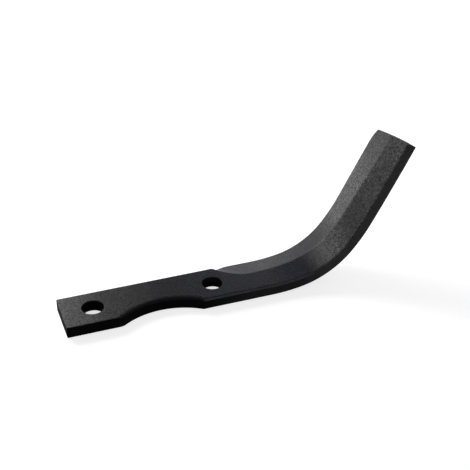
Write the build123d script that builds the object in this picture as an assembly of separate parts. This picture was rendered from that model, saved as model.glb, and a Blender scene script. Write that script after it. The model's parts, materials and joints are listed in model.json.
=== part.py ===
# Rotary tiller blade: one forging from a flat spring steel bar.
#
# The flat shank is bolted to the rotor with two bolts in a line, and a
# scallop in its front edge clears the round rotor hub. Past the second bolt
# the back edge is forged down to a wide cutting bevel, which spreads the
# metal sideways. The blade is then rolled up on an axis that lies slightly
# askew to the bar, so that it scoops as well as cuts.
#
# Frame, in millimetres: the origin is midway between the two bolt holes, on
# the underside, which seats on the rotor flange. +X runs along the shank
# towards the blade, +Y points to the bevelled cutting edge, +Z is up, the
# way the blade turns.
#
# The outline is drawn in the flat, as the blank is cut. A point of it is
# given by its reach along the bar from the origin and its offset to +Y.

import os
from math import asin, cos, degrees, exp, radians, sin, sqrt

from build123d import *

# Bar
bar_width = 30.0
bar_thickness = 7.5
end_margin = 19.0
mill_chamfer = 0.4

# Bolt holes
hole_pitch = 75.0
end_hole_diameter = 13.5
blade_hole_diameter = 13.0

# Hub scallop in the front edge, punched from above
scallop_radius = 43.0
scallop_depth = 8.0
scallop_shift = 1.0
scallop_lead_radius = 7.0
punched_round = 1.2

# Cutting bevel: the crease is the line where it meets the flat face
bevel_start = 42.4
bevel_run_in = 22.0
crease_offset = 2.0
crease_slope = 0.034
edge_thickness = 4.0
die_shoulder = 3.3
edge_spread = 4.1
spread_run = 6.0

# Front and back edges of the blade
blade_reach = 200.0
front_curve_start = 75.0
front_curve_radius = 1200.0
front_round = 1.2
back_curve_start = 85.0
back_curve_radius = 406.0
back_curve_end = 120.0

# Tip
tip_skew = 11.5
tip_radius = 300.0
tip_corner_start = 184.0
tip_corner_radius = 20.0

# Roll: a tight arc between two slack ones, on an axis askew to the bar
roll_start = 70.5
roll_angle = 60.2
roll_inside_radius = 50.2
slack_angle = 9.9
roll_skew = 5.7

# How many cross-sections shape each stretch of the forging
run_in_section_count = 9
roll_section_count = 14
tip_section_count = 9

half_width = bar_width / 2
half_thickness = bar_thickness / 2
shank_end = -(hole_pitch / 2 + end_margin)
waste = bar_width
skew = radians(roll_skew)
roll_axis = Vector(-sin(skew), cos(skew), 0)
roll_ahead = Vector(cos(skew), sin(skew), 0)
roll_radius = roll_inside_radius + half_thickness
slack_radius = 2 * roll_radius
roll_length = slack_radius * radians(2 * slack_angle) + roll_radius * radians(roll_angle - 2 * slack_angle)


def curved(reach, start, radius, end):
    """Sideways rise of an edge that is straight, then an arc, then straight."""
    run = min(max(reach - start, 0.0), end - start)
    beyond = max(reach - end, 0.0)
    return radius - sqrt(radius**2 - run**2) + beyond * (end - start) / radius


def past_bevel_start(reach):
    return max(reach - bevel_start, 0.0)


def front_edge(reach):
    """Offset of the rounded leading edge."""
    return -half_width + curved(reach, front_curve_start, front_curve_radius, blade_reach + waste)


def back_edge(reach):
    """Offset of the cutting edge, with the metal that the bevel pushes out."""
    spread = edge_spread * (1 - exp(-((past_bevel_start(reach) / spread_run) ** 2)))
    return half_width + spread + curved(reach, back_curve_start, back_curve_radius, back_curve_end)


def crease(reach):
    """Offset of the line where the flat face meets the bevel."""
    run = past_bevel_start(reach) / bevel_run_in
    line = crease_offset + crease_slope * bevel_run_in * max(run - 1, 0.0)
    return line + (half_width - mill_chamfer - crease_offset) * (1 - min(run, 1.0)) ** 2


def edge_height(reach):
    """Thickness left at the cutting edge. It falls off quickly at the die's shoulder."""
    full = bar_thickness - mill_chamfer
    return full - (full - edge_thickness) * (1 - exp(-past_bevel_start(reach) / die_shoulder))


def station_of(reach, offset):
    """How far a point of the flat blank lies ahead of the start of the roll."""
    return (reach - roll_start) * cos(skew) + offset * sin(skew)


def crossing(station, edge):
    """Where the section at a station crosses an edge: reach, and distance along the axis."""
    distance = 0.0
    for _ in range(6):
        reach = roll_start + station * cos(skew) - distance * sin(skew)
        distance = (edge(reach) - station * sin(skew)) / cos(skew)
    return reach, distance


first_station = station_of(bevel_start, half_width)
last_station = station_of(blade_reach, 0) + waste


def make_roll_path():
    """Middle of the thickness, from the start of the bevel to past the tip."""
    lead = Line((first_station, 0), (0, 0))
    slack_in = JernArc(lead @ 1, lead % 1, slack_radius, slack_angle)
    tight = JernArc(slack_in @ 1, slack_in % 1, roll_radius, roll_angle - 2 * slack_angle)
    slack_out = JernArc(tight @ 1, tight % 1, slack_radius, slack_angle)
    straight = Line(slack_out @ 1, slack_out @ 1 + (slack_out % 1) * (last_station - roll_length))
    side = Plane(origin=(roll_start, 0, half_thickness), x_dir=roll_ahead, z_dir=-roll_axis)
    return side * Wire([lead, slack_in, tight, slack_out, straight])


def section(path, station):
    """Cross-section along the roll axis, with its front corners still sharp."""
    _, front = crossing(station, front_edge)
    reach, back = crossing(station, back_edge)
    _, fold = crossing(station, crease)
    corners = [
        (front, -half_thickness),
        (back, -half_thickness),
        (back, edge_height(reach) - half_thickness),
        (fold, half_thickness),
        (front, half_thickness),
    ]
    length = station - first_station
    centre = path.position_at(length, PositionMode.LENGTH)
    tangent = path.tangent_at(length, PositionMode.LENGTH)
    return Plane(centre, x_dir=roll_axis, z_dir=tangent) * make_face(Polyline(*corners, close=True))


def spaced(start, end, count, crowding=1):
    """Evenly spaced stations, or ones that crowd towards the start."""
    return [start + (end - start) * (i / count) ** crowding for i in range(count)]


def make_forging():
    """The whole bar with its bevel and its roll, before it is cut to its outline."""
    path = make_roll_path()
    run_in_end = first_station + bevel_run_in
    stations = spaced(first_station, run_in_end, run_in_section_count, crowding=2)
    stations += spaced(run_in_end, roll_length, roll_section_count)
    stations += spaced(roll_length, last_station, tip_section_count)
    sections = [section(path, station) for station in stations + [last_station]]
    bar = extrude(sections[0], amount=bevel_start - shank_end + waste, dir=(-1, 0, 0))
    return bar + loft(sections)


def shank_cutter():
    """What is cut from the flat shank: the bar's end and the hub scallop."""
    bar_end = Pos(shank_end - waste, 0) * Rectangle(2 * waste, 2 * bar_width)
    scallop = Pos(scallop_shift, scallop_depth - half_width - scallop_radius) * Circle(scallop_radius)
    return extrude(bar_end + scallop, amount=2 * bar_thickness, both=True)


def tip_cutter():
    """What is cut past the tip, drawn in the flat and laid on the rolled blade."""
    end = Pos(blade_reach, 0) * Rot(0, 0, tip_skew) * Pos(-tip_radius, 0) * Circle(tip_radius)
    beyond = Pos(blade_reach + waste, 0) * Rectangle(4 * waste, 4 * waste) - end
    slope = degrees(asin((back_curve_end - back_curve_start) / back_curve_radius))
    corner = Pos(tip_corner_start, back_edge(tip_corner_start)) * Rot(0, 0, slope)
    square = Pos(tip_corner_radius, 0) * Rectangle(2 * tip_corner_radius, 2 * tip_corner_radius)
    clipped = corner * (square - Pos(0, -tip_corner_radius) * Circle(tip_corner_radius))
    path = make_roll_path()
    rolled = Plane(path @ 1, x_dir=path % 1, z_dir=(path % 1).cross(roll_axis))
    flat_to_rolled = Pos(-last_station, 0) * Rot(0, 0, -roll_skew) * Pos(-roll_start, 0)
    return extrude(rolled * flat_to_rolled * (beyond + clipped), amount=2 * bar_thickness, both=True)


def bolt_hole(reach, diameter):
    return Pos(reach, 0, half_thickness) * Cylinder(diameter / 2, 2 * bar_thickness)


def make_blade():
    """The forging with its outline, bolt holes and rounded edges."""
    blade = make_forging() - shank_cutter() - tip_cutter()
    blade -= bolt_hole(-hole_pitch / 2, end_hole_diameter)
    blade -= bolt_hole(hole_pitch / 2, blade_hole_diameter)

    upright = blade.edges().filter_by(Axis.Z)
    corners = upright.filter_by(lambda edge: edge.center().Y < mill_chamfer - half_width)
    _, scallop_lead, scallop_end = corners.sort_by(Axis.X)[:3]
    scallop_right = scallop_end.center().X
    blade = fillet(scallop_lead, scallop_lead_radius)

    outer = blade.edges().filter_by(lambda edge: edge.center().Y < -half_width / 2)
    forged = outer.filter_by(lambda edge: edge.center().X > scallop_right)
    blade = fillet(forged.filter_by(lambda edge: edge.length > bar_thickness + front_round), front_round)

    top = blade.edges().filter_by(lambda edge: edge.center().Z > bar_thickness - mill_chamfer / 2)
    punched = top.filter_by(lambda edge: edge.center().Y < mill_chamfer - half_width + scallop_depth)
    return fillet(punched.filter_by(lambda edge: edge.center().X < scallop_right), punched_round)


tiller_blade = make_blade()
os.makedirs("parts", exist_ok=True)
export_step(tiller_blade, "parts/tiller_blade.step")
print("tiller_blade", round(tiller_blade.volume), "cubic mm")
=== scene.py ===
# %% [markdown]
# # A rotary tiller blade in black paint
#
# A tiller's rotor carries dozens of these blades. Each one is a flat bar of spring
# steel, punched with two bolt holes and a scallop, forged down to a wide cutting bevel
# along its back edge, and rolled up into a scoop. Then it is dipped in black paint.
#
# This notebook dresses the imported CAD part. The part is loaded first, as a fixed frame
# in metres, and everything after it is placed from that frame.

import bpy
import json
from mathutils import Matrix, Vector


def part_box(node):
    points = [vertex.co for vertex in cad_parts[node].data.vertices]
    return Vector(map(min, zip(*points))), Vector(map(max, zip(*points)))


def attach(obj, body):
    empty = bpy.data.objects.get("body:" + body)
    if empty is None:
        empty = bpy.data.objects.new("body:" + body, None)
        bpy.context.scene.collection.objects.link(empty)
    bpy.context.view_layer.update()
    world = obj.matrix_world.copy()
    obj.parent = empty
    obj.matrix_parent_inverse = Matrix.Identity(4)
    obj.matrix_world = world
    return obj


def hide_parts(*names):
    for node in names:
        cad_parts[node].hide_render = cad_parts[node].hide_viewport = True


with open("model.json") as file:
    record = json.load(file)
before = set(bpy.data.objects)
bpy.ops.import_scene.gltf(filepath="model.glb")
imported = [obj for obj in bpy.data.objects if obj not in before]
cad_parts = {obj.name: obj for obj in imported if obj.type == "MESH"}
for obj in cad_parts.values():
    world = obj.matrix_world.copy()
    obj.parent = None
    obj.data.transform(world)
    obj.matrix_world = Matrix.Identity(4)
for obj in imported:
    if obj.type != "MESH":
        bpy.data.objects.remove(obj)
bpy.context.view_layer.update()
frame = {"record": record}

# %% [markdown]
# ## The bar and its bolt holes
#
# The record that came with the frame says where the two bolts go and how wide their
# holes are, so these sizes are read from it and not typed again. The bar's own sizes
# are the ones that the part was drawn with. Everything is in metres, and `MM` keeps
# the numbers readable.

# %% The bar and its bolt holes
import json
import math

import bpy
import numpy as np
from mathutils import Matrix, Vector, geometry

MM = 0.001
BLADE = "tiller_blade"

mounts = {mount["name"]: mount for mount in frame["record"]["mounts"]}
bolt_holes = [mounts["end_bolt_hole"], mounts["blade_bolt_hole"]]
hole_reaches = [hole["pos_m"][0] for hole in bolt_holes]
hole_radii = [hole["dims"]["r_mm"] * MM for hole in bolt_holes]

bar_width = 30 * MM
bar_thickness = bolt_holes[0]["dims"]["length_mm"] * MM
bar_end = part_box(BLADE)[0].x
print("bolt holes at", hole_reaches, "radii", hole_radii, "bar", bar_width, "x", bar_thickness)

# %% [markdown]
# ## Edges of the flat blank
#
# The real blade starts as a flat blank, and it is easiest to model it that way too: a
# point of the blank is its *reach* along the bar and its *offset* across it, and the
# roll comes later. Each long edge is a rule that gives the offset at a reach. The
# front edge runs straight, dips in for the scallop that clears the rotor's hub, and
# then curves gently back. The back edge is straight up to the bevel, where the
# forging pushes metal out sideways.

# %% Front and back edges
blade_reach = 200 * MM
front_curve_start = 75 * MM
front_curve_radius = 1200 * MM
back_curve_start = 85 * MM
back_curve_end = 120 * MM
back_curve_radius = 406 * MM

scallop_radius = 43 * MM
scallop_depth = 8 * MM
scallop_middle = 2.4 * MM
scallop_lead_radius = 7 * MM

bevel_start = 42.4 * MM
edge_spread = 4.1 * MM
spread_run = 6 * MM


def curved(reach, start, radius, end):
    """Sideways rise of an edge that is straight, then an arc, then straight again."""
    run = np.clip(reach - start, 0, end - start)
    beyond = np.maximum(reach - end, 0)
    return radius - np.sqrt(radius**2 - run**2) + beyond * (end - start) / radius


def blade_front(reach):
    return -bar_width / 2 + curved(reach, front_curve_start, front_curve_radius, 2 * blade_reach)


def back_edge(reach):
    past = np.maximum(reach - bevel_start, 0)
    spread = edge_spread * (1 - np.exp(-((past / spread_run) ** 2)))
    return bar_width / 2 + spread + curved(reach, back_curve_start, back_curve_radius, back_curve_end)


def arc_height(reach, middle, radius):
    """Height of a circle's upper half over its centre, and 0 beside it."""
    return np.sqrt(np.maximum(radius**2 - (reach - middle) ** 2, 0))


def front_edge(reach):
    """The blade's front edge with the scallop and the round corner that leads into it."""
    scallop_centre = scallop_depth - bar_width / 2 - scallop_radius
    lead_centre = scallop_lead_radius - bar_width / 2
    across = scallop_radius + scallop_lead_radius
    lead_middle = scallop_middle - math.sqrt(across**2 - (lead_centre - scallop_centre) ** 2)
    lead_end = scallop_middle + (lead_middle - scallop_middle) * scallop_radius / across
    scallop = scallop_centre + arc_height(reach, scallop_middle, scallop_radius)
    lead = lead_centre - arc_height(reach, lead_middle, scallop_lead_radius)
    edge = np.maximum(blade_front(reach), scallop)
    return np.where((reach > lead_middle) & (reach < lead_end), lead, edge)


print("widest point of the blank in mm:", round(1000 * float(back_edge(183 * MM) + bar_width / 2), 1))

# %% [markdown]
# ## The outline as one closed loop
#
# The edges, the end of the bar and the skewed, slightly bowed tip are joined into one
# loop of closely spaced points. A sheared or punched corner is never razor sharp, so
# the loop is smoothed along its length, which rounds the corners by about half a
# millimetre and leaves long curves alone. Then it is sampled again at even steps.

# %% The outline
tip_skew = math.radians(11.5)
tip_radius = 300 * MM
tip_corner_start = 184 * MM
tip_corner_radius = 20 * MM
outline_step = 0.8 * MM
fine_step = 0.1 * MM
corner_softness = 0.35 * MM


def even_steps(loop, step):
    """The same closed loop with its points evenly spaced, about a step apart."""
    closed = np.vstack([loop, loop[:1]])
    lengths = np.hypot(*np.diff(closed, axis=0).T)
    along = np.concatenate([[0], np.cumsum(lengths)])
    count = int(round(along[-1] / step))
    at = np.arange(count) * along[-1] / count
    return np.column_stack([np.interp(at, along, closed[:, k]) for k in range(2)])


def softened(values, step, width):
    """Values along a closed loop, averaged over a bell curve of a given width."""
    reach = int(math.ceil(3 * width / step))
    weights = np.exp(-0.5 * (np.arange(-reach, reach + 1) * step / width) ** 2)
    shifted = [w * np.roll(values, k, axis=0) for k, w in zip(range(-reach, reach + 1), weights)]
    return sum(shifted) / weights.sum()


def tip_back_edge(reach):
    """The back edge, with the corner beside the tip worn round."""
    slope = math.asin((back_curve_end - back_curve_start) / back_curve_radius)
    middle = tip_corner_start + tip_corner_radius * math.sin(slope)
    centre = back_edge(tip_corner_start) - tip_corner_radius * math.cos(slope)
    corner = centre + arc_height(reach, middle, tip_corner_radius)
    return np.where(reach > tip_corner_start, np.minimum(corner, back_edge(reach)), back_edge(reach))


def blank_outline():
    """The blank's edge, walked with the metal on the left."""
    tip_centre = np.array([blade_reach - tip_radius * math.cos(tip_skew), -tip_radius * math.sin(tip_skew)])
    reach = np.arange(bar_end, blade_reach + bar_width / 4, fine_step)
    front = np.column_stack([reach, front_edge(reach)])
    back = np.column_stack([reach, tip_back_edge(reach)])[::-1]
    front = front[np.hypot(*(front - tip_centre).T) < tip_radius]
    back = back[np.hypot(*(back - tip_centre).T) < tip_radius]
    first = math.atan2(*(front[-1] - tip_centre)[::-1])
    last = math.atan2(*(back[0] - tip_centre)[::-1])
    turn = np.linspace(first, last, 400)
    tip = tip_centre + tip_radius * np.column_stack([np.cos(turn), np.sin(turn)])
    loop = even_steps(np.vstack([front, tip, back]), fine_step)
    return even_steps(softened(loop, fine_step, corner_softness), outline_step)


outline = blank_outline()
print("outline points:", len(outline), "tip at", outline.max(axis=0))

# %% [markdown]
# ## Rounded rims
#
# Each stretch of the outline has its own rim. The mill leaves a slight round on the
# bar's edges. The press that cuts the scallop drags the top edge down as it bites,
# which leaves a wide soft roll-over. The forged front edge of the blade is rounded
# top and bottom, because it runs against the soil. A rim is two sizes: how far *in*
# it reaches over the face, and how far it *drops*.
#
# The surface near an edge is then a quarter of an ellipse, measured from the edge
# itself. So the height of any point follows from its distance to the outline, and the
# points only need to lie in rings where the round is tight. `sheared` keeps where a
# press cut the steel, at the scallop and the bar's end, as the paint is duller there.

# %% Rims
MILLED = (0.3 * MM, 0.25 * MM)
BAR_CORNER = (0.2 * MM, 0.3 * MM)
PUNCHED = (2.9 * MM, 1.4 * MM)
FORGED_TOP = (0.8 * MM, 1.5 * MM)
BLADE_TOP = (0.3 * MM, 0.7 * MM)
FORGED_UNDER = (0.7 * MM, 0.7 * MM)
BURR = (0.25 * MM, 0.25 * MM)
HOLE_TOP = (0.35 * MM, 0.3 * MM)
blade_rim_from = 100 * MM
rim_blend = 0.9 * MM
scallop_right = scallop_middle + math.sqrt(scallop_radius**2 - (scallop_radius - scallop_depth) ** 2)
punched_from = -24.5 * MM


def front_stretches(loop):
    """Which points of the front edge lie before and on the scallop, after it, and on the blade."""
    reach, offset = loop.T
    front = (offset < front_edge(reach) + 0.3 * MM) & (reach > bar_end + 1 * MM)
    limits = [bar_end, punched_from, scallop_right, blade_rim_from, np.inf]
    return [front & (reach >= low) & (reach < high) for low, high in zip(limits[:-1], limits[1:])]


def rim_sizes(loop, elsewhere, *front_rims):
    """How far in and down the rim goes at each point of the outline."""
    sizes = np.tile(elsewhere, (len(loop), 1))
    for stretch, size in zip(front_stretches(loop), front_rims):
        sizes[stretch] = size
    return softened(sizes, outline_step, rim_blend)


def circle(middle, radius, step):
    count = 4 * int(round(math.tau * radius / step / 4))
    turn = -np.arange(count) * math.tau / count
    return np.column_stack([middle + radius * np.cos(turn), radius * np.sin(turn)])


holes = [circle(x, r, outline_step) for x, r in zip(hole_reaches, hole_radii)]
top_rims = [rim_sizes(outline, MILLED, BAR_CORNER, PUNCHED, FORGED_TOP, BLADE_TOP)]
top_rims += [np.tile(HOLE_TOP, (len(hole), 1)) for hole in holes]
under_rims = [rim_sizes(outline, MILLED, BURR, BURR, FORGED_UNDER, FORGED_UNDER)]
under_rims += [np.tile(BURR, (len(hole), 1)) for hole in holes]
loops = [outline, *holes]
edge_points = np.vstack(loops)
sheared = front_stretches(outline)[1] | (outline[:, 0] < bar_end + 0.3 * MM)
sheared = softened(sheared.astype(float), outline_step, rim_blend)
sheared = np.concatenate([sheared, np.zeros(len(edge_points) - len(outline))])
print("points on edges:", len(edge_points))

# %% [markdown]
# ## The forged bevel
#
# The bevel is a plane pressed into the top face. It starts at a crease, which sweeps
# in from the back edge and then runs along the blade, and it falls to the thin
# cutting edge. The die works square to the axis of the roll and not to the bar, so
# the fall is measured along that axis: `crossing` finds where a line along the axis
# meets the crease or the edge, by stepping towards it a few times.

# %% The forged bevel
roll_start = 70.5 * MM
roll_skew = math.radians(5.7)
bevel_run_in = 22 * MM
crease_offset = 2 * MM
crease_slope = 0.034
edge_thickness = 4 * MM
die_shoulder = 3.3 * MM
mill_round = 0.4 * MM


def crease(reach):
    run = np.maximum(reach - bevel_start, 0) / bevel_run_in
    line = crease_offset + crease_slope * bevel_run_in * np.maximum(run - 1, 0)
    return line + (bar_width / 2 - mill_round - crease_offset) * (1 - np.minimum(run, 1)) ** 2


def edge_height(reach):
    full = bar_thickness - mill_round
    past = np.maximum(reach - bevel_start, 0)
    return full - (full - edge_thickness) * (1 - np.exp(-past / die_shoulder))


def skewed(points):
    """Station ahead of the roll's start, and distance along the roll's axis."""
    reach, offset = points[:, 0] - roll_start, points[:, 1]
    cosine, sine = math.cos(roll_skew), math.sin(roll_skew)
    return reach * cosine + offset * sine, offset * cosine - reach * sine


def crossing(station, edge):
    """Reach and axial distance at which the line at a station meets an edge."""
    distance = np.zeros_like(station)
    for _ in range(6):
        reach = roll_start + station * math.cos(roll_skew) - distance * math.sin(roll_skew)
        distance = (edge(reach) - station * math.sin(roll_skew)) / math.cos(roll_skew)
    return reach, distance


def bevel_share(points):
    """0 on the flat face and at the crease, 1 at the cutting edge."""
    station, distance = skewed(points)
    _, fold = crossing(station, crease)
    _, back = crossing(station, back_edge)
    share = np.clip((distance - fold) / np.maximum(back - fold, 0.1 * MM), 0, 1)
    return np.where(points[:, 0] > bevel_start, share, 0)


def top_height(points):
    """Height of the forged top face, before its rims are rounded."""
    station, _ = skewed(points)
    reach, _ = crossing(station, back_edge)
    fall = np.maximum(bar_thickness - edge_height(reach), 0)
    return bar_thickness - fall * bevel_share(points)


print("thickness at the cutting edge in mm:", round(1000 * float(edge_height(100 * MM)), 2))

# %% [markdown]
# ## Points over the blank
#
# One set of points serves the top and the underside. There are rings just inside
# every edge, three rows along the crease to keep it crisp, and an even grid between
# them. A point is dropped where it comes too close to an edge or to a row that is
# already there. `delaunay_2d_cdt` joins them into triangles and keeps the edges and
# the crease as lines of its own, which a plain grid can't do.

# %% Points over the blank
grid_step = 1.3 * MM
ring_turns = np.radians([20, 38, 55, 70, 82, 90])
crease_sides = 0.45 * MM
batch = 500


def loop_normals(loop):
    """Unit vectors that point into the metal."""
    ahead = np.roll(loop, -1, axis=0) - np.roll(loop, 1, axis=0)
    ahead /= np.hypot(*ahead.T)[:, None]
    return np.column_stack([-ahead[:, 1], ahead[:, 0]])


def to_edge(points):
    """Distance from each point to the nearest edge, and which edge point that is."""
    nearest = np.empty(len(points), int)
    for start in range(0, len(points), batch):
        part = points[start : start + batch]
        gaps = np.hypot(*(part[:, None] - edge_points[None]).transpose(2, 0, 1))
        nearest[start : start + batch] = gaps.argmin(axis=1)
    normals = np.vstack([loop_normals(loop) for loop in loops])[nearest]
    distance = ((points - edge_points[nearest]) * normals).sum(axis=1)
    return distance, nearest


def apart(points, others, gap):
    """The points that keep a gap to all the others."""
    keep = np.ones(len(points), bool)
    for start in range(0, len(points), batch):
        part = points[start : start + batch]
        gaps = np.hypot(*(part[:, None] - others[None]).transpose(2, 0, 1))
        keep[start : start + batch] = gaps.min(axis=1) > gap
    return points[keep]


def rings():
    """Rows of points inside every edge, closest where the rim is steepest."""
    rows = []
    for loop, sizes in zip(loops, top_rims):
        normals = loop_normals(loop)
        for turn in ring_turns:
            inset = sizes[:, :1] * (1 - math.cos(turn))
            row = loop + normals * inset
            distance, _ = to_edge(row)
            rows.append(row[distance > inset[:, 0] * 0.97])
    return np.vstack(rows)


def crease_rows():
    """The crease itself, and a row on either side of it."""
    reach = np.arange(bevel_start + 0.3 * MM, blade_reach, outline_step)
    rows = [np.column_stack([reach, crease(reach) + side]) for side in (0, -crease_sides, crease_sides)]
    rims = np.vstack(top_rims)
    kept = []
    for row in rows:
        distance, nearest = to_edge(row)
        kept.append(row[distance > rims[nearest, 0] + 0.25 * MM])
    return kept


def grid():
    """Staggered rows of points, a little over a millimetre apart."""
    low, high = outline.min(axis=0), outline.max(axis=0)
    rows = []
    for i, offset in enumerate(np.arange(low[1], high[1], grid_step * math.sqrt(0.75))):
        reach = np.arange(low[0] + (i % 2) * grid_step / 2, high[0], grid_step)
        rows.append(np.column_stack([reach, np.full(len(reach), offset)]))
    return np.vstack(rows)


ring_points = rings()
crease_line, *crease_beside = crease_rows()
crease_points = np.vstack([crease_line, *crease_beside])
ring_points = apart(ring_points, crease_points, 0.3 * MM)
grid_points = grid()
grid_points = grid_points[to_edge(grid_points)[0] > grid_step * 0.6]
grid_points = apart(grid_points, np.vstack([edge_points, ring_points, crease_points]), grid_step * 0.6)
flat_points = np.vstack([edge_points, ring_points, crease_points, grid_points])
print("points in one face:", len(flat_points))

# %% [markdown]
# ## Triangles, top, underside and walls
#
# The triangles outside the outline and inside the holes are thrown away. The same
# triangles are laid twice, once at the top's heights and once, turned over, at the
# underside's. Rows of quads close the walls between the two, from the same edge
# points, so the mesh is closed and every face looks outwards.

# %% The blank's mesh
wall_rows = 4


def loop_edges(first, count):
    return [(first + i, first + (i + 1) % count) for i in range(count)]


def inside(points, loop):
    """Whether each point is inside a loop: a ray from it crosses the loop an odd number of times."""
    x0, y0 = loop.T
    x1, y1 = np.roll(loop, -1, axis=0).T
    px, py = points[:, :1], points[:, 1:]
    spans = (y0 > py) != (y1 > py)
    crossings = spans & (px < x0 + (py - y0) * (x1 - x0) / np.where(y1 == y0, 1, y1 - y0))
    return crossings.sum(axis=1) % 2 == 1


def triangles():
    starts = np.cumsum([0] + [len(loop) for loop in loops])
    edges = [edge for first, loop in zip(starts, loops) for edge in loop_edges(int(first), len(loop))]
    first = len(edge_points) + len(ring_points)
    edges += [(first + i, first + i + 1) for i in range(len(crease_line) - 1)]
    made = geometry.delaunay_2d_cdt([tuple(p) for p in flat_points], edges, [], 0, 1e-9, True)
    verts, _, faces, origins, _, _ = made
    source = np.array([origin[0] for origin in origins])
    faces = source[np.array(faces)]
    middles = flat_points[faces].mean(axis=1)
    keep = inside(middles, outline)
    for hole in holes:
        keep &= ~inside(middles, hole)
    return faces[keep]


def rim_share(distance, sizes):
    """1 at an edge, falling to 0 where its rim ends."""
    return np.clip(1 - distance / sizes[:, 0], 0, 1)


def rim_drop(distance, sizes):
    """How far a rim has fallen at a distance from its edge."""
    return sizes[:, 1] * (1 - np.sqrt(1 - rim_share(distance, sizes) ** 2))


def blank_mesh():
    faces = triangles()
    distance, nearest = to_edge(flat_points)
    distance[: len(edge_points)] = 0
    nearest[: len(edge_points)] = np.arange(len(edge_points))
    top_sizes = np.vstack(top_rims)[nearest]
    top = top_height(flat_points) - rim_drop(distance, top_sizes)
    under = rim_drop(distance, np.vstack(under_rims)[nearest])
    rim = rim_share(distance, top_sizes)
    count = len(flat_points)
    verts = [np.column_stack([flat_points, top]), np.column_stack([flat_points, under])]
    first = 2 * count
    edge_count = len(edge_points)
    for row in range(1, wall_rows):
        share = row / wall_rows
        height = under[:edge_count] * (1 - share) + top[:edge_count] * share
        verts.append(np.column_stack([edge_points, height]))
    levels = [count + np.arange(edge_count)]
    levels += [first + row * edge_count + np.arange(edge_count) for row in range(wall_rows - 1)]
    levels += [np.arange(edge_count)]
    polygons = [tuple(f) for f in faces.tolist()] + [tuple(f) for f in (faces[:, ::-1] + count).tolist()]
    starts = np.cumsum([0] + [len(loop) for loop in loops])
    for start, loop in zip(starts, loops):
        here = start + np.arange(len(loop))
        ahead = np.roll(here, -1)
        for low, high in zip(levels[:-1], levels[1:]):
            quads = np.column_stack([low[here], low[ahead], high[ahead], high[here]])
            polygons += [tuple(q) for q in quads.tolist()]
    mesh = bpy.data.meshes.new(BLADE + "_blank")
    mesh.from_pydata(np.vstack(verts).tolist(), [], polygons)
    mesh.update()
    rest = np.zeros(count + (wall_rows - 1) * edge_count)
    mark(mesh, "bevel", "FLOAT", "POINT", np.concatenate([bevel_share(flat_points), rest]))
    mark(mesh, "rim", "FLOAT", "POINT", np.concatenate([rim * (1 - sheared[nearest]), rest]))
    mark(mesh, "rolled_over", "FLOAT", "POINT", np.concatenate([rim**2 * sheared[nearest], rest]))
    mark(mesh, "wall", "BOOLEAN", "FACE", np.arange(len(polygons)) >= 2 * len(faces))
    return mesh


def mark(mesh, name, kind, domain, values):
    """Keeps one number for each point or face of a mesh under a name."""
    layer = mesh.attributes.new(name, kind, domain)
    layer.data.foreach_set("value", values)


blank = blank_mesh()
print("blank:", len(blank.vertices), "points,", len(blank.polygons), "faces")

# %% [markdown]
# ## Rolling the blank up, with Geometry Nodes
#
# The roll follows a rule, so Geometry Nodes make it: a straight lead, a slack arc, the
# tight arc in the middle, another slack arc, and the straight blade. The axis of the
# roll lies a few degrees askew to the bar, and that is what turns a bent bar into a
# scoop. Bending a mesh with a Simple Deform modifier would be quicker, but it knows
# only one arc and no skew.
#
# `Arc Step` turns a length along the metal into a place on one arc. The main tree
# chains three of them, and keeps every point's place in the flat in an attribute
# called `blank`, so that the paint can follow the metal round the roll. Last, it sinks
# the surface by a few hundredths of a millimetre, more here and less there, as
# hammered steel is never quite even.

# %% The roll as a node tree
roll_inside_radius = 50.2 * MM
roll_angle = math.radians(60.2)
slack_angle = math.radians(9.9)
unevenness = 0.06 * MM
uneven_size = 11 * MM


def add_socket(tree, name, kind, way="INPUT"):
    return tree.interface.new_socket(name=name, in_out=way, socket_type="NodeSocket" + kind)


class Sums:
    """Adds Math nodes to a tree: each call is one step of a sum, and gives its result."""

    def __init__(self, tree):
        self.tree = tree

    def __call__(self, operation, *values):
        node = self.tree.nodes.new("ShaderNodeMath")
        node.operation = operation
        for socket, value in zip(node.inputs, values):
            if isinstance(value, (int, float)):
                socket.default_value = value
            else:
                self.tree.links.new(value, socket)
        return node.outputs[0]


def make_arc_step():
    tree = bpy.data.node_groups.new("Arc Step", "GeometryNodeTree")
    for name in ("Station", "Start", "Radius", "From Angle", "To Angle"):
        add_socket(tree, name, "Float")
    for name in ("Ahead", "Up", "Turn", "Finish"):
        add_socket(tree, name, "Float", "OUTPUT")
    given = tree.nodes.new("NodeGroupInput").outputs
    result = tree.nodes.new("NodeGroupOutput").inputs
    sums = Sums(tree)
    turn_of_arc = sums("SUBTRACT", given["To Angle"], given["From Angle"])
    length = sums("MULTIPLY", turn_of_arc, given["Radius"])
    run = sums("MINIMUM", sums("MAXIMUM", sums("SUBTRACT", given["Station"], given["Start"]), 0.0), length)
    turn = sums("DIVIDE", run, given["Radius"])
    angle = sums("ADD", given["From Angle"], turn)
    ahead = sums("SUBTRACT", sums("SINE", angle), sums("SINE", given["From Angle"]))
    up = sums("SUBTRACT", sums("COSINE", given["From Angle"]), sums("COSINE", angle))
    tree.links.new(sums("MULTIPLY", ahead, given["Radius"]), result["Ahead"])
    tree.links.new(sums("MULTIPLY", up, given["Radius"]), result["Up"])
    tree.links.new(turn, result["Turn"])
    tree.links.new(sums("ADD", given["Start"], length), result["Finish"])
    return tree


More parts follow.
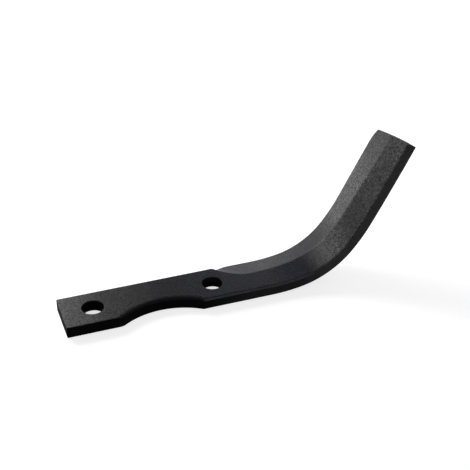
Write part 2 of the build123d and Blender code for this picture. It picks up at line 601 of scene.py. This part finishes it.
def make_roll_tree():
    tree = bpy.data.node_groups.new("Roll Up The Blank", "GeometryNodeTree")
    add_socket(tree, "Blank", "Geometry")
    for name in ("Thickness", "Roll Start", "Roll Skew", "Inside Radius", "Roll Angle", "Slack Angle"):
        add_socket(tree, name, "Float")
    for name in ("Unevenness", "Uneven Size", "Seed"):
        add_socket(tree, name, "Float")
    for name in ("Paint", "Wall Paint"):
        add_socket(tree, name, "Material")
    add_socket(tree, "Blade", "Geometry", "OUTPUT")
    new, link, sums = tree.nodes.new, tree.links.new, Sums(tree)
    given = new("NodeGroupInput").outputs

    flat = new("GeometryNodeInputPosition").outputs[0]
    keep = new("GeometryNodeStoreNamedAttribute")
    keep.data_type, keep.domain = "FLOAT_VECTOR", "POINT"
    keep.inputs["Name"].default_value = "blank"
    link(given["Blank"], keep.inputs["Geometry"])
    link(flat, keep.inputs["Value"])

    place = new("ShaderNodeSeparateXYZ")
    link(flat, place.inputs[0])
    cosine, sine = sums("COSINE", given["Roll Skew"]), sums("SINE", given["Roll Skew"])
    reach, offset = sums("SUBTRACT", place.outputs["X"], given["Roll Start"]), place.outputs["Y"]
    station = sums("ADD", sums("MULTIPLY", reach, cosine), sums("MULTIPLY", offset, sine))
    distance = sums("SUBTRACT", sums("MULTIPLY", offset, cosine), sums("MULTIPLY", reach, sine))

    middle = sums("ADD", given["Inside Radius"], sums("DIVIDE", given["Thickness"], 2.0))
    slack = sums("MULTIPLY", middle, 2.0)
    tight_end = sums("SUBTRACT", given["Roll Angle"], given["Slack Angle"])
    arcs = [(slack, 0.0, given["Slack Angle"]), (middle, given["Slack Angle"], tight_end)]
    arcs.append((slack, tight_end, given["Roll Angle"]))
    ahead, up, turn, start = sums("MINIMUM", station, 0.0), 0.0, 0.0, 0.0
    for radius, from_angle, to_angle in arcs:
        arc = new("GeometryNodeGroup")
        arc.node_tree = arc_step
        for name, value in zip(arc_step_inputs, (station, start, radius, from_angle, to_angle)):
            if isinstance(value, float):
                arc.inputs[name].default_value = value
            else:
                link(value, arc.inputs[name])
        ahead = sums("ADD", ahead, arc.outputs["Ahead"])
        up = sums("ADD", up, arc.outputs["Up"])
        turn = sums("ADD", turn, arc.outputs["Turn"])
        start = arc.outputs["Finish"]
    beyond = sums("MAXIMUM", sums("SUBTRACT", station, start), 0.0)
    level = sums("SUBTRACT", place.outputs["Z"], sums("DIVIDE", given["Thickness"], 2.0))
    turn_cosine, turn_sine = sums("COSINE", turn), sums("SINE", turn)
    ahead = sums("ADD", ahead, sums("MULTIPLY", beyond, turn_cosine))
    ahead = sums("SUBTRACT", ahead, sums("MULTIPLY", level, turn_sine))
    up = sums("ADD", up, sums("MULTIPLY", beyond, turn_sine))
    up = sums("ADD", up, sums("MULTIPLY", level, turn_cosine))

    rolled = new("ShaderNodeCombineXYZ")
    x = sums("SUBTRACT", sums("MULTIPLY", ahead, cosine), sums("MULTIPLY", distance, sine))
    y = sums("ADD", sums("MULTIPLY", ahead, sine), sums("MULTIPLY", distance, cosine))
    link(sums("ADD", x, given["Roll Start"]), rolled.inputs["X"])
    link(y, rolled.inputs["Y"])
    link(sums("ADD", up, sums("DIVIDE", given["Thickness"], 2.0)), rolled.inputs["Z"])
    roll = new("GeometryNodeSetPosition")
    link(keep.outputs["Geometry"], roll.inputs["Geometry"])
    link(rolled.outputs[0], roll.inputs["Position"])

    noise = new("ShaderNodeTexNoise")
    noise.noise_dimensions = "4D"
    noise.inputs["Detail"].default_value = 3.0
    noise.inputs["Roughness"].default_value = 0.45
    link(new("GeometryNodeInputPosition").outputs[0], noise.inputs["Vector"])
    link(sums("DIVIDE", 1.0, given["Uneven Size"]), noise.inputs["Scale"])
    link(given["Seed"], noise.inputs["W"])
    depth = sums("MULTIPLY", sums("MULTIPLY", noise.outputs[0], given["Unevenness"]), -1.0)
    sink = new("ShaderNodeVectorMath")
    sink.operation = "SCALE"
    link(new("GeometryNodeInputNormal").outputs[0], sink.inputs[0])
    link(depth, sink.inputs["Scale"])
    hammered = new("GeometryNodeSetPosition")
    link(roll.outputs[0], hammered.inputs["Geometry"])
    link(sink.outputs[0], hammered.inputs["Offset"])

    real = new("GeometryNodeRealizeInstances")
    link(hammered.outputs[0], real.inputs[0])
    painted = new("GeometryNodeSetMaterial")
    link(real.outputs[0], painted.inputs["Geometry"])
    link(given["Paint"], painted.inputs["Material"])
    on_wall = new("GeometryNodeInputNamedAttribute")
    on_wall.data_type = "BOOLEAN"
    on_wall.inputs["Name"].default_value = "wall"
    walls = new("GeometryNodeSetMaterial")
    link(painted.outputs[0], walls.inputs["Geometry"])
    link(on_wall.outputs[0], walls.inputs["Selection"])
    link(given["Wall Paint"], walls.inputs["Material"])
    link(walls.outputs[0], new("NodeGroupOutput").inputs["Blade"])
    return tree


arc_step = make_arc_step()
arc_step_inputs = ["Station", "Start", "Radius", "From Angle", "To Angle"]
roll_tree = make_roll_tree()
print("roll tree:", len(roll_tree.nodes), "nodes")

# %% [markdown]
# ## Grain and cloud, two effects that both paints share
#
# Under the paint the steel was shot-blasted, and the paint follows its fine pits. Over
# larger patches the film is a little thicker or thinner. Both effects are wanted in
# two materials, so each is a node group, built once, with its own named sizes. They
# read the `blank` attribute, the place in the flat, so the pattern is carried round
# the roll with the metal and doesn't slide over it.

# %% Grain and cloud
def add_node(tree, kind, values=None, **settings):
    """A new node with its settings, and its inputs set to values or linked to sockets."""
    node = tree.nodes.new(kind)
    for name, value in settings.items():
        setattr(node, name, value)
    for name, value in (values or {}).items():
        if isinstance(value, bpy.types.NodeSocket):
            tree.links.new(value, node.inputs[name])
        else:
            node.inputs[name].default_value = value
    return node


def new_effect(name, inputs, output):
    """An empty shader node group with a place, some sizes and one output."""
    tree = bpy.data.node_groups.new(name, "ShaderNodeTree")
    add_socket(tree, "Place", "Vector")
    for label, value in inputs.items():
        add_socket(tree, label, "Float").default_value = value
    add_socket(tree, output, "Float", "OUTPUT")
    return tree, tree.nodes.new("NodeGroupInput").outputs, tree.nodes.new("NodeGroupOutput").inputs


def make_grain():
    """Height of a blasted surface: soft grain with round pits in it."""
    tree, given, result = new_effect("Blasted Grain", {"Grain Size": 1 * MM, "Pits": 0.3}, "Height")
    sums = Sums(tree)
    scale = sums("DIVIDE", 1.0, given["Grain Size"])
    grain_inputs = {"Vector": given["Place"], "Scale": scale, "Detail": 4.0, "Roughness": 0.6}
    noise = add_node(tree, "ShaderNodeTexNoise", grain_inputs).outputs[0]
    pit_inputs = {"Vector": given["Place"], "Scale": sums("MULTIPLY", scale, 0.8)}
    cells = add_node(tree, "ShaderNodeTexVoronoi", pit_inputs).outputs["Distance"]
    pit = sums("SUBTRACT", 1.0, sums("MINIMUM", sums("MULTIPLY", cells, 3.2), 1.0))
    tree.links.new(sums("SUBTRACT", noise, sums("MULTIPLY", pit, given["Pits"])), result["Height"])
    return tree


def make_cloud():
    """Soft patches from 0 to 1."""
    tree, given, result = new_effect("Cloudy Film", {"Cloud Size": 12 * MM, "Contrast": 2.0}, "Amount")
    sums = Sums(tree)
    scale = sums("DIVIDE", 1.0, given["Cloud Size"])
    cloud_inputs = {"Vector": given["Place"], "Scale": scale, "Detail": 3.0, "Distortion": 0.6}
    noise = add_node(tree, "ShaderNodeTexNoise", cloud_inputs).outputs[0]
    spread = sums("MULTIPLY", sums("SUBTRACT", noise, 0.5), given["Contrast"])
    tree.links.new(sums("MINIMUM", sums("MAXIMUM", sums("ADD", spread, 0.5), 0.0), 1.0), result["Amount"])
    return tree


grain_effect, cloud_effect = make_grain(), make_cloud()
print("effects:", grain_effect.name, "and", cloud_effect.name)

# %% [markdown]
# ## The satin black paint
#
# A thin black coat has little colour of its own. Most of what shows is its sheen,
# which grows where the surface is seen at a flat angle. The sheen is one number for
# the whole coat, so it is set on the shader itself. What changes from place to place
# is the colour: bluish in the middle, and greyer in a few zones as painted sheen and
# highlights, which stand in for the lamps' sheen there. Those are the bar's end, a
# patch in the bend, the blade's face near its tip, and the bevel. Two lists of stops,
# one for the face and one for the bevel, say how much painted sheen each zone gets,
# and where. The same could be painted by hand on the mesh, but a list is easier to change.
#
# The grain raises the surface and speckles the colour, because the pits of a blasted
# surface hold more paint than its tips. On the bevel long draw marks run with the
# blade, where the die dragged the hot steel. Along the bar's rims, short of the blade,
# a lighter grey in patches is a painted highlight line, and where a press sheared
# the steel the rims are duller.
#
# The marks that tell these places apart (`bevel`, `rim` and `rolled_over`) were kept
# on the blank's points when it was built, because there the distances were already
# known. `wall` was kept on its faces, and the tree gives those the dull paint.

# %% The satin black paint
def mark_value(tree, name):
    return add_node(tree, "ShaderNodeAttribute", attribute_name=name).outputs["Fac"]


def grain_of(tree, place, size, pits):
    values = {"Place": place, "Grain Size": size, "Pits": pits}
    return add_node(tree, "ShaderNodeGroup", values, node_tree=grain_effect).outputs[0]


def cloud_of(tree, place, size, contrast):
    values = {"Place": place, "Cloud Size": size, "Contrast": contrast}
    return add_node(tree, "ShaderNodeGroup", values, node_tree=cloud_effect).outputs[0]


def blend(tree, kind, amount, first, second):
    """A node that goes from the first value to the second as the amount goes from 0 to 1."""
    values = {0: amount, {"FLOAT": 2, "RGBA": 6}[kind]: first, {"FLOAT": 3, "RGBA": 7}[kind]: second}
    return add_node(tree, "ShaderNodeMix", values, data_type=kind).outputs[{"FLOAT": 0, "RGBA": 2}[kind]]


def ramp(tree, value, start, end, first=0.0, second=1.0):
    """Goes smoothly from the first number to the second as a value goes from start to end."""
    values = {"Value": value, "From Min": start, "From Max": end, "To Min": first, "To Max": second}
    return add_node(tree, "ShaderNodeMapRange", values, interpolation_type="SMOOTHSTEP").outputs[0]


def start_paint(name):
    """A new material with its shader, and the place in the flat that the effects read."""
    material = bpy.data.materials.new(name)
    material.use_nodes = True
    tree = material.node_tree
    place = add_node(tree, "ShaderNodeAttribute", attribute_name="blank").outputs["Vector"]
    return material, tree, tree.nodes["Principled BSDF"], place


satin_sheen = 0.029
least_roughness = 0.23
cloudy_roughness = 0.06
sheared_roughness = 0.6
relief = 0.22 * MM
grain_relief = 2.6
draw_relief = 1.4
cloud_relief = 0.7
grain_middle = 0.44
speckle_depth = 4.5
speckle_on_bevel = 2.0

THICK_COAT = (0.0036, 0.0036, 0.0037, 1)
THIN_COAT = (0.0056, 0.0056, 0.0056, 1)
BLUISH_COAT = (0.0034, 0.0037, 0.0082, 1)
# The rims' lighter grey below is a painted highlight line.
PAINTED_RIM_HIGHLIGHT = (0.040, 0.040, 0.041, 1)
SHEARED_COAT = (0.0012, 0.0012, 0.0013, 1)
# The face's and the bevel's greys are painted sheen and highlights: at the bar's end, in the bend, near the
# tip and on the bevel.
PAINTED_FACE_SHEEN = [(-55, 0.04), (-30, 0.0), (100, 0.005), (115, 0.03), (140, 0.005), (200, 0.015)]
PAINTED_BEVEL_SHEEN = [(50, 0.0), (75, 0.025), (95, 0.02), (115, 0.005), (135, 0.06), (160, 0.06), (200, 0.02)]
COARSENESS = [(-50, 0.45), (-30, 0.85), (5, 0.36), (82, 0.34), (112, 0.40), (135, 1.15)]


def along(tree, reach, stops):
    """A grey that goes along the blade from stop to stop, each with its reach in mm."""
    span = {"Value": reach, "From Min": bar_end, "From Max": blade_reach}
    share = add_node(tree, "ShaderNodeMapRange", span).outputs[0]
    node = add_node(tree, "ShaderNodeValToRGB", {"Fac": share})
    elements = node.color_ramp.elements
    while len(elements) < len(stops):
        elements.new(0.5)
    for element, (at, value) in zip(elements, stops):
        element.position = (at * MM - bar_end) / (blade_reach - bar_end)
        element.color = (value, value, value, 1)
    return node.outputs["Color"]


def make_satin_paint():
    material, tree, shader, place = start_paint("satin_black_paint")
    sums = Sums(tree)
    bevel, rim, rolled_over = [mark_value(tree, name) for name in ("bevel", "rim", "rolled_over")]
    reach = add_node(tree, "ShaderNodeSeparateXYZ", {0: place}).outputs["X"]
    on_bevel = ramp(tree, bevel, 0.0, 0.15)
    on_blade = ramp(tree, reach, 92 * MM, 112 * MM)
    cool = sums("MULTIPLY", ramp(tree, reach, -20 * MM, 40 * MM), sums("SUBTRACT", 1.0, on_blade))

    grain = grain_of(tree, place, 1.0 * MM, 0.35)
    cloud = cloud_of(tree, place, 5 * MM, 2.4)
    draw_stretch = {0: place, 1: (1 / (30 * MM), 1 / (1.0 * MM), 0)}
    stretched = add_node(tree, "ShaderNodeVectorMath", draw_stretch, operation="MULTIPLY").outputs[0]
    streak_inputs = {"Vector": stretched, "Scale": 1.0, "Detail": 2.0}
    streaks = add_node(tree, "ShaderNodeTexNoise", streak_inputs).outputs[0]
    drawn = sums("MULTIPLY", sums("SUBTRACT", streaks, 0.5), sums("MULTIPLY", on_bevel, on_blade))
    patchy = sums("ADD", 0.6, sums("MULTIPLY", cloud_of(tree, place, 3 * MM, 3.0), 0.4))
    # Where the painted highlight line goes: along the rims, in patches, short of the blade.
    rim_highlight = sums("MULTIPLY", sums("MULTIPLY", rim, patchy), sums("SUBTRACT", 1.0, on_blade))

    coarse = sums("MULTIPLY", along(tree, reach, COARSENESS), grain_relief)
    height = sums("ADD", sums("MULTIPLY", grain, coarse), sums("MULTIPLY", drawn, draw_relief))
    height = sums("ADD", height, sums("MULTIPLY", sums("MULTIPLY", cloud, on_blade), cloud_relief))
    bump = add_node(tree, "ShaderNodeBump", {"Height": height, "Strength": 1.0, "Distance": relief})
    rough = sums("ADD", least_roughness, sums("MULTIPLY", cloud, cloudy_roughness))

    coat = blend(tree, "RGBA", cloud, THICK_COAT, THIN_COAT)
    coat = blend(tree, "RGBA", cool, coat, BLUISH_COAT)
    # Painted sheen and highlights, added to the coat along the face and the bevel.
    painted_sheen = blend(tree, "RGBA", on_bevel, along(tree, reach, PAINTED_FACE_SHEEN), along(tree, reach, PAINTED_BEVEL_SHEEN))
    depth = blend(tree, "FLOAT", on_bevel, speckle_depth, speckle_on_bevel)
    speckle = sums("MULTIPLY", sums("SUBTRACT", grain, grain_middle), sums("MULTIPLY", coarse, depth))
    speckle = sums("MAXIMUM", sums("ADD", 1.0, speckle), 0.0)
    colour = add_node(tree, "ShaderNodeVectorMath", {0: coat, 1: painted_sheen}, operation="ADD").outputs[0]
    flecked = {0: colour, "Scale": speckle}
    colour = add_node(tree, "ShaderNodeVectorMath", flecked, operation="SCALE").outputs[0]
    # Painted highlight: a lighter grey along the rims.
    colour = blend(tree, "RGBA", rim_highlight, colour, PAINTED_RIM_HIGHLIGHT)
    colour = blend(tree, "RGBA", rolled_over, colour, SHEARED_COAT)
    tree.links.new(colour, shader.inputs["Base Color"])
    tree.links.new(blend(tree, "FLOAT", rolled_over, rough, sheared_roughness), shader.inputs["Roughness"])
    shader.inputs["Specular IOR Level"].default_value = satin_sheen
    tree.links.new(bump.outputs[0], shader.inputs["Normal"])
    return material


satin_paint = make_satin_paint()
print("paint:", satin_paint.name, "with", len(satin_paint.node_tree.nodes), "nodes")

# %% [markdown]
# ## The dull paint of the walls
#
# A punch tears the steel in its lower half, so the walls of the scallop, of the bolt
# holes and of the bar's sheared end are coarse under the paint. They look almost
# without sheen. The walls' colour is painted along the blade: near black by the bar,
# the deepest black on the blade, as painted shade, and greyer towards the tip, as
# painted reflection. This is the same coat, so it uses the same two effects, with a
# coarser grain and less gloss.

# %% The dull paint
wall_sheen = 0.012
wall_relief = 0.12 * MM
# The walls' greys along the blade: near black by the bar as painted shade, greyer towards the tip as
# painted reflection.
WALL_PAINTED_SHADE_AND_SHEEN = [(25, 0.001), (60, 0.01), (90, 0.012), (110, 0.025)]


def make_dull_paint():
    material, tree, shader, place = start_paint("dull_wall_paint")
    reach = add_node(tree, "ShaderNodeSeparateXYZ", {0: place}).outputs["X"]
    grain = grain_of(tree, place, 1.6 * MM, 0.6)
    cloud = cloud_of(tree, place, 4 * MM, 3.0)
    bump = add_node(tree, "ShaderNodeBump", {"Height": grain, "Strength": 1.0, "Distance": wall_relief})
    worn = add_node(tree, "ShaderNodeMapRange", {"Value": cloud, "To Min": 0.85, "To Max": 1.15}).outputs[0]
    # Painted shade and reflection along the walls, varied a little at random.
    patchy = {0: along(tree, reach, WALL_PAINTED_SHADE_AND_SHEEN), "Scale": worn}
    colour = add_node(tree, "ShaderNodeVectorMath", patchy, operation="SCALE").outputs[0]
    tree.links.new(colour, shader.inputs["Base Color"])
    tree.links.new(blend(tree, "FLOAT", cloud, 0.6, 0.8), shader.inputs["Roughness"])
    shader.inputs["Specular IOR Level"].default_value = wall_sheen
    tree.links.new(bump.outputs[0], shader.inputs["Normal"])
    return material


dull_paint = make_dull_paint()
print("paint:", dull_paint.name, "with", len(dull_paint.node_tree.nodes), "nodes")

# %% [markdown]
# ## Rolled, smoothed and put in place
#
# The tree is run once, through a modifier on a throw-away object, and what it makes
# is kept as a plain mesh. The finished blade stands for the CAD part, which is hidden,
# rides with its frame and wears the two paints.

# %% Roll the blank
def run_tree(name, mesh, tree, settings):
    """The plain mesh that a node tree makes of a mesh, as a finished object."""
    source = bpy.data.objects.new(name + "_source", mesh)
    bpy.context.scene.collection.objects.link(source)
    modifier = source.modifiers.new("Tree", "NODES")
    modifier.node_group = tree
    ids = {item.name: item.identifier for item in tree.interface.items_tree if item.in_out == "INPUT"}
    for label, value in settings.items():
        modifier[ids[label]] = value
    depsgraph = bpy.context.evaluated_depsgraph_get()
    made = bpy.data.meshes.new_from_object(source.evaluated_get(depsgraph), depsgraph=depsgraph)
    bpy.data.objects.remove(source)
    made.shade_smooth()
    made.name = name
    piece = bpy.data.objects.new(name, made)
    bpy.context.scene.collection.objects.link(piece)
    return piece


settings = {
    "Thickness": bar_thickness,
    "Roll Start": roll_start,
    "Roll Skew": roll_skew,
    "Inside Radius": roll_inside_radius,
    "Roll Angle": roll_angle,
    "Slack Angle": slack_angle,
    "Unevenness": unevenness,
    "Uneven Size": uneven_size,
    "Seed": 4.0,
    "Paint": satin_paint,
    "Wall Paint": dull_paint,
}
blade = run_tree("blade", blank, roll_tree, settings)
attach(blade, "root")
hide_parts(BLADE)
print("blade:", len(blade.data.vertices), "points,", len(blade.data.polygons), "faces")
print("attributes:", [a.name for a in blade.data.attributes])
print("materials:", [m.name for m in blade.data.materials])

# %% [markdown]
# ## A white floor that keeps the shadow
#
# The photo was taken on white paper. A floor that is only lit never gets quite white
# without burning out the object too. So the floor is a plain pale grey that takes the
# lamps' light and the shadow, and adds a glow that only the camera and mirror-like
# rays can see. The two together come to white, and the glow puts no light on the
# blade's painted colour. Far from the blade, where less of the lamps' light falls, the
# glow rises to full white. The world behind it works in the same way.

# %% The floor
floor_half = 2.0
floor_level = -0.05 * MM
floor_grey = 0.5
floor_glow = 0.72
glow_rise_from = 0.4
glow_full_at = 1.2


def seen_by_eye(tree):
    """1 for a ray from the camera, or one that reached this place by a mirror or through glass."""
    rays = tree.nodes.new("ShaderNodeLightPath").outputs
    sums = Sums(tree)
    mirrored = sums("MAXIMUM", rays["Is Glossy Ray"], rays["Is Transmission Ray"])
    return sums("MAXIMUM", rays["Is Camera Ray"], mirrored)


def make_floor_paper():
    material = bpy.data.materials.new("pale_floor")
    material.use_nodes = True
    tree = material.node_tree
    tree.nodes.remove(tree.nodes["Principled BSDF"])
    paper = add_node(tree, "ShaderNodeBsdfDiffuse", {"Color": (floor_grey, floor_grey, floor_grey, 1)})
    place = add_node(tree, "ShaderNodeNewGeometry").outputs["Position"]
    away = add_node(tree, "ShaderNodeVectorMath", {0: place}, operation="LENGTH").outputs["Value"]
    glow_there = ramp(tree, away, glow_rise_from, glow_full_at, floor_glow, 1.0)
    glow_strength = Sums(tree)("MULTIPLY", seen_by_eye(tree), glow_there)
    glow = add_node(tree, "ShaderNodeEmission", {"Strength": glow_strength})
    both = add_node(tree, "ShaderNodeAddShader", {0: paper.outputs[0], 1: glow.outputs[0]})
    tree.links.new(both.outputs[0], tree.nodes["Material Output"].inputs["Surface"])
    return material


signs = [(-1, -1), (1, -1), (1, 1), (-1, 1)]
floor_corners = [(x * floor_half, y * floor_half, floor_level) for x, y in signs]
floor_mesh = bpy.data.meshes.new("floor")
floor_mesh.from_pydata(floor_corners, [], [(0, 1, 2, 3)])
floor = bpy.data.objects.new("floor", floor_mesh)
floor.data.materials.append(make_floor_paper())
bpy.context.scene.collection.objects.link(floor)
print("floor at", floor_level, "grey", floor_grey, "glow", floor_glow)

# %% [markdown]
# ## A white room
#
# The world fills in a little light from all around, at a fifth of full white. To the
# camera, and in reflections, it is full white, like the inside of a light tent. Most
# of what is seen on black paint is this tent, mirrored at a flat angle.

# %% The world
room_fill = 0.2

world = bpy.data.worlds.new("studio")
world.use_nodes = True
bpy.context.scene.world = world
room = world.node_tree
room_level = Sums(room)("MAXIMUM", seen_by_eye(room), room_fill)
room.links.new(room_level, room.nodes["Background"].inputs["Strength"])
room.nodes["Background"].inputs["Color"].default_value = (1, 1, 1, 1)
print("room fill:", room_fill)

# %% [markdown]
# ## Softboxes
#
# The lamps are square softboxes. All but one stand in a ring around the blade and
# face it. Each has a direction, from behind the blade (0 degrees) round to the right,
# and a height in degrees. The low ones behind give the long sheen on the face and the
# bevel, and the one in front lights the thin light line along the rounded front rim.
# Both are also in the paint's colour, as painted sheen and a painted highlight. The
# last is small and stands close by, to brighten the end of the bar, which is painted
# lighter too.

# %% Softboxes
ring_centre = Vector((0.05, 0, 0.03))
ring_radius = 0.75
box_size = 0.34

SOFTBOXES = [
    ("rear_left", -30, 10, 3.4),
    ("rear", 0, 10, 0.95),
    ("rear_right", 30, 10, 0.75),
    ("high_left", -30, 30, 1.65),
    ("high_right", 30, 30, 0.4),
    ("left", -60, 10, 0.5),
    ("front", 180, 10, 2.4),
]


def softbox(name, place, aim, size, watts):
    lamp = bpy.data.lights.new(name, "AREA")
    lamp.size = size
    lamp.energy = watts
    box = bpy.data.objects.new(name, lamp)
    box.location = place
    box.rotation_euler = (aim - place).to_track_quat("-Z", "Y").to_euler()
    box.visible_camera = False
    bpy.context.scene.collection.objects.link(box)
    return box


def ring_place(direction, height):
    turn, tilt = math.radians(direction), math.radians(height)
    out = Vector((math.sin(turn) * math.cos(tilt), math.cos(turn) * math.cos(tilt), math.sin(tilt)))
    return ring_centre + ring_radius * out


for name, direction, height, watts in SOFTBOXES:
    softbox(name, ring_place(direction, height), ring_centre, box_size, watts)

near_aim = Vector((-0.088, 0, 0.0075))
near_place = near_aim + Vector((0, 0.3, 0.22))
near_size = 0.14
near_watts = 0.8
softbox("near_left", near_place, near_aim, near_size, near_watts)
print("softboxes:", len(SOFTBOXES) + 1)

# %% [markdown]
# ## The camera
#
# The place of the camera was worked out from the photo, by fitting its turn, tilt,
# distance and lens until the corners and holes of the CAD part fell on those in the
# picture. `forward`, `right` and `up` are the camera's own directions, and the aim is
# how far the middle of the picture lies beside the frame's origin.

# %% Camera
camera_turn = math.radians(19.74)
camera_tilt = math.radians(32.29)
camera_distance = 647.82 * MM
aim_right = -49.27 * MM
aim_up = -42.44 * MM
focal_length = 1065.53
frame_size = 470
sensor_width = 36

forward = np.array([
    math.sin(camera_turn) * math.cos(camera_tilt),
    math.cos(camera_turn) * math.cos(camera_tilt),
    -math.sin(camera_tilt),
])
right = np.array([math.cos(camera_turn), -math.sin(camera_turn), 0])
up = np.cross(right, forward)
lens = bpy.data.cameras.new("camera")
lens.sensor_width = sensor_width
lens.lens = focal_length * sensor_width / frame_size
camera = bpy.data.objects.new("camera", lens)
camera_place = -(camera_distance * forward + aim_right * right + aim_up * up)
camera_axes = Matrix(np.column_stack([right, up, -forward]).tolist()).to_4x4()
camera.matrix_world = Matrix.Translation(camera_place.tolist()) @ camera_axes
bpy.context.scene.collection.objects.link(camera)
bpy.context.scene.camera = camera
bpy.context.scene.view_settings.view_transform = "Standard"
print("camera at", [round(float(x), 3) for x in camera_place], "lens in mm", round(lens.lens, 1))
